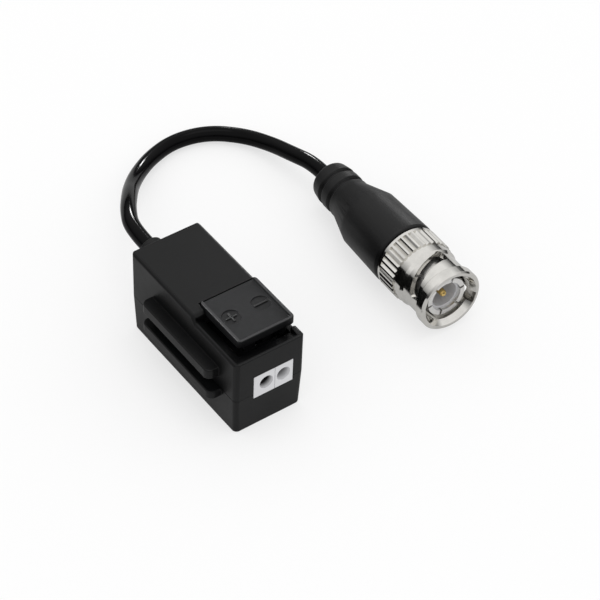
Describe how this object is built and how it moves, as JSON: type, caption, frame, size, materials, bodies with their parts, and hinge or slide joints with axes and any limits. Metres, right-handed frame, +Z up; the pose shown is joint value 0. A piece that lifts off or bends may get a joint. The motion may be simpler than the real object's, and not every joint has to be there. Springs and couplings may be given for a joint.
{
  "type": "video balun",
  "caption": "Small black balun with a press-lever wire terminal on its front and a short coaxial pigtail ending in a bayonet plug.",
  "frame": {"origin": "centre of the housing's base, on the surface it stands on", "axes": "+X to the right seen from the wire terminal, +Y from the terminal to the cord, +Z up"},
  "size_m": [0.0593, 0.0747, 0.0194],
  "materials": {
    "housing_black": "fine satin moulded black plastic",
    "lever_black": "fine satin moulded black plastic",
    "terminal_grey": "smooth light grey plastic",
    "board_green": "coated circuit board",
    "ferrite_grey": "sintered ferrite",
    "copper_wire": "enamelled copper wire",
    "tinned_metal": "tinned metal",
    "spring_steel": "spring steel",
    "ceramic_blue": "coated ceramic",
    "ceramic_cream": "ceramic",
    "cord_black": "glossy black cord jacket",
    "boot_black": "satin black moulded boot",
    "nickel": "bright nickel plating",
    "nickel_body": "nickel plated brass",
    "insulator_white": "pale insulator plastic",
    "gold": "gold plating",
    "seal_dark": "dark sealing rubber"
  },
  "bodies": {
    "root": {"upper_shell": "housing_black", "lower_shell": "housing_black", "hinge_pin": "spring_steel", "terminal_block": "terminal_grey", "contact_bar_plus": "tinned_metal", "contact_bar_minus": "tinned_metal", "clamp_spring_plus": "spring_steel", "clamp_spring_minus": "spring_steel", "circuit_board": "board_green", "transformer_core": "ferrite_grey", "winding_line": "copper_wire", "winding_coax": "copper_wire", "filter_capacitor": "ceramic_blue", "surge_suppressor": "ceramic_cream", "chip_parts": "ceramic_cream", "cable_gland": "boot_black", "cable_lead": "cord_black", "signal_wire": "insulator_white", "ground_wire": "tinned_metal", "cord": "cord_black", "plug_body": "nickel_body", "plug_insulator": "insulator_white", "centre_pin": "gold", "sealing_ring": "seal_dark", "spring_washer": "spring_steel", "rear_body": "nickel_body", "crimp_ferrule": "nickel_body", "plug_boot": "boot_black"},
    "lever": {"press_lever": "lever_black"},
    "washer": {"thrust_washer": "tinned_metal"},
    "coupling": {"coupling_sleeve": "nickel"}
  },
  "joints": [
    {"name": "lever_press", "type": "hinge", "parent": "root", "child": "lever", "pos_m": [0, -0.0023, 0.0157], "axis": [1, 0, 0], "range_deg": [0, 5.5], "stiffness_Nm_per_rad": 0.05, "springref_deg": -1.15, "deforming": ["clamp_spring_plus", "clamp_spring_minus"]},
    {"name": "coupling_pull", "type": "slide", "parent": "root", "child": "washer", "axis": [-0.0601, -0.9976, 0.0349], "range_m": [0, 0.0007], "stiffness_N_per_m": 800, "springref_m": -0.0005, "deforming": ["spring_washer"]},
    {"name": "coupling_turn", "type": "hinge", "parent": "washer", "child": "coupling", "pos_m": [0.04202, -0.00385, 0.00695], "axis": [0.0601, 0.9976, -0.0349], "continuous": true}
  ]
}
